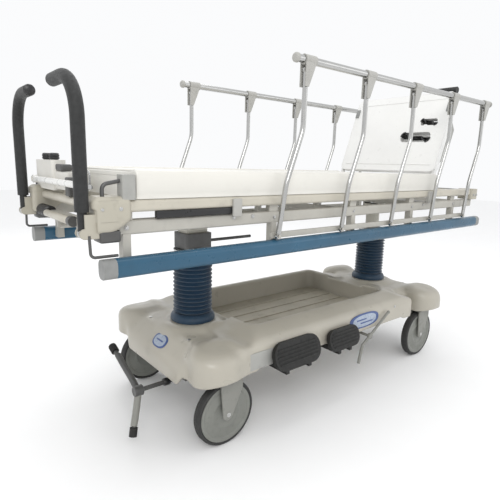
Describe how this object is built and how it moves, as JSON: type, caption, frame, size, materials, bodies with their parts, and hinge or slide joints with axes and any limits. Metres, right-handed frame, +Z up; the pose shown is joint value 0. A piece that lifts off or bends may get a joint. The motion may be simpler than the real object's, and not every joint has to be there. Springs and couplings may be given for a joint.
{
  "type": "hospital stretcher trolley",
  "caption": "Wheeled patient stretcher with a twin-column height lift, moulded base with storage well, folding side rails, raised backrest and fold-down push handles.",
  "frame": {"origin": "on the floor under the middle of the overall length and width", "axes": "+X along the length towards the head end (raised backrest), +Y towards the far side, +Z up"},
  "size_m": [2.272, 0.8004, 1.4079],
  "materials": {
    "chassis_steel": "dark powder coat",
    "base_moulding": "satin moulded cover",
    "cylinder_black": "black paint",
    "bellows_blue": "pleated rubber",
    "column_cream": "cream powder coat",
    "lever_black": "black powder coat",
    "pedal_black": "ribbed rubber",
    "bright_steel": "plated",
    "fork_grey": "grey paint",
    "wheel_grey": "moulded wheel disc",
    "tyre_rubber": "non-marking rubber tread",
    "frame_grey": "grey powder coat",
    "tube_beige": "beige powder coat",
    "deck_white": "moulded panel",
    "cover_light": "light grey moulding",
    "bumper_blue": "blue extrusion",
    "cap_grey": "grey end cap",
    "grip_black": "soft grip",
    "pole_white": "white paint"
  },
  "bodies": {
    "base": {"base_frame": "chassis_steel", "base_hood_foot": "base_moulding", "base_hood_head": "base_moulding", "base_sides": "base_moulding", "storage_tray": "base_moulding", "jack_cylinders": "cylinder_black", "bellows": "bellows_blue"},
    "brake_lever": {"brake_lever": "lever_black", "brake_pads": "pedal_black"},
    "pedal_raise_near": {"pedal_raise_near": "pedal_black"},
    "pedal_raise_far": {"pedal_raise_far": "pedal_black"},
    "pedal_lower_near": {"pedal_lower_near": "pedal_black"},
    "pedal_lower_far": {"pedal_lower_far": "pedal_black"},
    "side_lever": {"side_lever": "bright_steel"},
    "lift": {"column_stages": "cylinder_black", "foot_pivot": "cylinder_black"},
    "head_ram": {"head_ram": "column_cream"},
    "litter": {"litter_frame": "frame_grey", "side_tubes": "tube_beige", "deck": "deck_white", "corner_castings": "tube_beige", "bumpers": "bumper_blue", "bumper_caps": "cap_grey", "rail_mounts": "frame_grey", "head_bumper": "cap_grey", "foot_end_box": "cover_light"},
    "backrest": {"backrest_panel": "deck_white", "backrest_braces": "cover_light", "backrest_cover": "cover_light", "backrest_grip": "grip_black"},
    "iv_pole": {"iv_pole": "pole_white"},
    "iv_mast": {"iv_mast": "bright_steel"},
    "push_handle_near": {"push_handle_near": "grip_black"},
    "push_handle_far": {"push_handle_far": "grip_black"},
    "caster_foot_near": {"caster_fork_foot_near": "fork_grey"},
    "wheel_foot_near": {"wheel_disc_foot_near": "wheel_grey", "tyre_foot_near": "tyre_rubber"},
    "caster_foot_far": {"caster_fork_foot_far": "fork_grey"},
    "wheel_foot_far": {"wheel_disc_foot_far": "wheel_grey", "tyre_foot_far": "tyre_rubber"},
    "caster_head_near": {"caster_fork_head_near": "fork_grey"},
    "wheel_head_near": {"wheel_disc_head_near": "wheel_grey", "tyre_head_near": "tyre_rubber"},
    "caster_head_far": {"caster_fork_head_far": "fork_grey"},
    "wheel_head_far": {"wheel_disc_head_far": "wheel_grey", "tyre_head_far": "tyre_rubber"},
    "rail_post_near_1": {"rail_post_near_1": "bright_steel"},
    "rail_post_near_2": {"rail_post_near_2": "bright_steel"},
    "rail_post_near_3": {"rail_post_near_3": "bright_steel"},
    "rail_post_near_4": {"rail_post_near_4": "bright_steel"},
    "rail_post_near_5": {"rail_post_near_5": "bright_steel"},
    "rail_top_near": {"rail_top_near": "bright_steel", "rail_knuckles_near": "cover_light"},
    "rail_post_far_1": {"rail_post_far_1": "bright_steel"},
    "rail_post_far_2": {"rail_post_far_2": "bright_steel"},
    "rail_post_far_3": {"rail_post_far_3": "bright_steel"},
    "rail_post_far_4": {"rail_post_far_4": "bright_steel"},
    "rail_post_far_5": {"rail_post_far_5": "bright_steel"},
    "rail_top_far": {"rail_top_far": "bright_steel", "rail_knuckles_far": "cover_light"}
  },
  "joints": [
    {"name": "swivel_foot_near", "type": "hinge", "parent": "base", "child": "caster_foot_near", "pos_m": [-0.625, -0.305, 0.26], "axis": [0, 0, 1], "continuous": true},
    {"name": "roll_foot_near", "type": "hinge", "parent": "caster_foot_near", "child": "wheel_foot_near", "pos_m": [-0.65, -0.305, 0.12], "axis": [0, 1, 0], "continuous": true},
    {"name": "swivel_foot_far", "type": "hinge", "parent": "base", "child": "caster_foot_far", "pos_m": [-0.625, 0.305, 0.26], "axis": [0, 0, 1], "continuous": true},
    {"name": "roll_foot_far", "type": "hinge", "parent": "caster_foot_far", "child": "wheel_foot_far", "pos_m": [-0.65, 0.305, 0.12], "axis": [0, 1, 0], "continuous": true},
    {"name": "swivel_head_near", "type": "hinge", "parent": "base", "child": "caster_head_near", "pos_m": [0.655, -0.305, 0.26], "axis": [0, 0, 1], "continuous": true},
    {"name": "roll_head_near", "type": "hinge", "parent": "caster_head_near", "child": "wheel_head_near", "pos_m": [0.63, -0.305, 0.12], "axis": [0, 1, 0], "continuous": true},
    {"name": "swivel_head_far", "type": "hinge", "parent": "base", "child": "caster_head_far", "pos_m": [0.655, 0.305, 0.26], "axis": [0, 0, 1], "continuous": true},
    {"name": "roll_head_far", "type": "hinge", "parent": "caster_head_far", "child": "wheel_head_far", "pos_m": [0.63, 0.305, 0.12], "axis": [0, 1, 0], "continuous": true},
    {"name": "brake_rock", "type": "hinge", "parent": "base", "child": "brake_lever", "pos_m": [0, -0.1, 0.185], "axis": [1, 0, 0], "range_deg": [-14, 14]},
    {"name": "lift", "type": "slide", "parent": "base", "child": "lift", "axis": [0, 0, 1], "range_m": [-0.18, 0], "deforming": ["bellows"]},
    {"name": "litter_tilt", "type": "hinge", "parent": "lift", "child": "litter", "pos_m": [-0.59, 0, 0.768], "axis": [0, 1, 0], "range_deg": [-4, 4]},
    {"name": "head_extension", "type": "slide", "parent": "lift", "child": "head_ram", "axis": [0, 0, 1], "range_m": [-0.083, 0.083]},
    {"name": "backrest_hinge", "type": "hinge", "parent": "litter", "child": "backrest", "pos_m": [0.66, 0, 0.945], "axis": [0, 1, 0], "range_deg": [-5, 70]},
    {"name": "iv_pole_fold", "type": "hinge", "parent": "litter", "child": "iv_pole", "pos_m": [-1.085, 0.268, 0.917], "axis": [1, 0, 0], "range_deg": [-90, 0]},
    {"name": "iv_mast_slide", "type": "slide", "parent": "iv_pole", "child": "iv_mast", "axis": [0, -1, 0], "range_m": [0, 0.3]},
    {"name": "side_lever_press", "type": "hinge", "parent": "base", "child": "side_lever", "pos_m": [0.12, -0.32, 0.24], "axis": [0, 1, 0], "range_deg": [-9, 0], "stiffness_Nm_per_rad": 12, "springref_deg": 8.59},
    {"name": "pedal_raise_near_press", "type": "hinge", "parent": "base", "child": "pedal_raise_near", "pos_m": [0, -0.215, 0.236], "axis": [1, 0, 0], "range_deg": [0, 15], "stiffness_Nm_per_rad": 40, "springref_deg": -6.88},
    {"name": "pedal_lower_near_press", "type": "hinge", "parent": "base", "child": "pedal_lower_near", "pos_m": [0, -0.215, 0.236], "axis": [1, 0, 0], "range_deg": [0, 15], "stiffness_Nm_per_rad": 40, "springref_deg": -6.88},
    {"name": "push_handle_near_fold", "type": "hinge", "parent": "litter", "child": "push_handle_near", "pos_m": [-1.118, -0.312, 0.8], "axis": [0, 1, 0], "range_deg": [-170, 0]},
    {"name": "pedal_raise_far_press", "type": "hinge", "parent": "base", "child": "pedal_raise_far", "pos_m": [0, 0.215, 0.236], "axis": [1, 0, 0], "range_deg": [-15, 0], "stiffness_Nm_per_rad": 40, "springref_deg": 6.88},
    {"name": "pedal_lower_far_press", "type": "hinge", "parent": "base", "child": "pedal_lower_far", "pos_m": [0, 0.215, 0.236], "axis": [1, 0, 0], "range_deg": [-15, 0], "stiffness_Nm_per_rad": 40, "springref_deg": 6.88},
    {"name": "push_handle_far_fold", "type": "hinge", "parent": "litter", "child": "push_handle_far", "pos_m": [-1.118, 0.312, 0.8], "axis": [0, 1, 0], "range_deg": [-170, 0]},
    {"name": "rail_post_near_1_fold", "type": "hinge", "parent": "litter", "child": "rail_post_near_1", "pos_m": [-0.47, -0.36, 0.747], "axis": [0, 1, 0], "range_deg": [-92, 0]},
    {"name": "rail_post_near_2_fold", "type": "hinge", "parent": "litter", "child": "rail_post_near_2", "pos_m": [-0.13, -0.36, 0.747], "axis": [0, 1, 0], "range_deg": [-92, 0]},
    {"name": "rail_post_near_3_fold", "type": "hinge", "parent": "litter", "child": "rail_post_near_3", "pos_m": [0.21, -0.36, 0.747], "axis": [0, 1, 0], "range_deg": [-92, 0]},
    {"name": "rail_post_near_4_fold", "type": "hinge", "parent": "litter", "child": "rail_post_near_4", "pos_m": [0.55, -0.36, 0.747], "axis": [0, 1, 0], "range_deg": [-92, 0]},
    {"name": "rail_post_near_5_fold", "type": "hinge", "parent": "litter", "child": "rail_post_near_5", "pos_m": [0.89, -0.36, 0.747], "axis": [0, 1, 0], "range_deg": [-92, 0]},
    {"name": "rail_top_near_hinge", "type": "hinge", "parent": "rail_post_near_1", "child": "rail_top_near", "pos_m": [-0.373, -0.36, 1.303], "axis": [0, 1, 0], "range_deg": [0, 92]},
    {"name": "rail_post_far_1_fold", "type": "hinge", "parent": "litter", "child": "rail_post_far_1", "pos_m": [-0.47, 0.36, 0.747], "axis": [0, 1, 0], "range_deg": [-92, 0]},
    {"name": "rail_post_far_2_fold", "type": "hinge", "parent": "litter", "child": "rail_post_far_2", "pos_m": [-0.13, 0.36, 0.747], "axis": [0, 1, 0], "range_deg": [-92, 0]},
    {"name": "rail_post_far_3_fold", "type": "hinge", "parent": "litter", "child": "rail_post_far_3", "pos_m": [0.21, 0.36, 0.747], "axis": [0, 1, 0], "range_deg": [-92, 0]},
    {"name": "rail_post_far_4_fold", "type": "hinge", "parent": "litter", "child": "rail_post_far_4", "pos_m": [0.55, 0.36, 0.747], "axis": [0, 1, 0], "range_deg": [-92, 0]},
    {"name": "rail_post_far_5_fold", "type": "hinge", "parent": "litter", "child": "rail_post_far_5", "pos_m": [0.89, 0.36, 0.747], "axis": [0, 1, 0], "range_deg": [-92, 0]},
    {"name": "rail_top_far_hinge", "type": "hinge", "parent": "rail_post_far_1", "child": "rail_top_far", "pos_m": [-0.373, 0.36, 1.303], "axis": [0, 1, 0], "range_deg": [0, 92]}
  ],
  "couplings": [
    {"joint": "head_extension", "follows": "litter_tilt", "m_per_rad": -1.18},
    {"joint": "rail_post_near_2_fold", "follows": "rail_post_near_1_fold", "ratio": 1},
    {"joint": "rail_post_near_3_fold", "follows": "rail_post_near_1_fold", "ratio": 1},
    {"joint": "rail_post_near_4_fold", "follows": "rail_post_near_1_fold", "ratio": 1},
    {"joint": "rail_post_near_5_fold", "follows": "rail_post_near_1_fold", "ratio": 1},
    {"joint": "rail_top_near_hinge", "follows": "rail_post_near_1_fold", "ratio": -1},
    {"joint": "rail_post_far_2_fold", "follows": "rail_post_far_1_fold", "ratio": 1},
    {"joint": "rail_post_far_3_fold", "follows": "rail_post_far_1_fold", "ratio": 1},
    {"joint": "rail_post_far_4_fold", "follows": "rail_post_far_1_fold", "ratio": 1},
    {"joint": "rail_post_far_5_fold", "follows": "rail_post_far_1_fold", "ratio": 1},
    {"joint": "rail_top_far_hinge", "follows": "rail_post_far_1_fold", "ratio": -1}
  ]
}
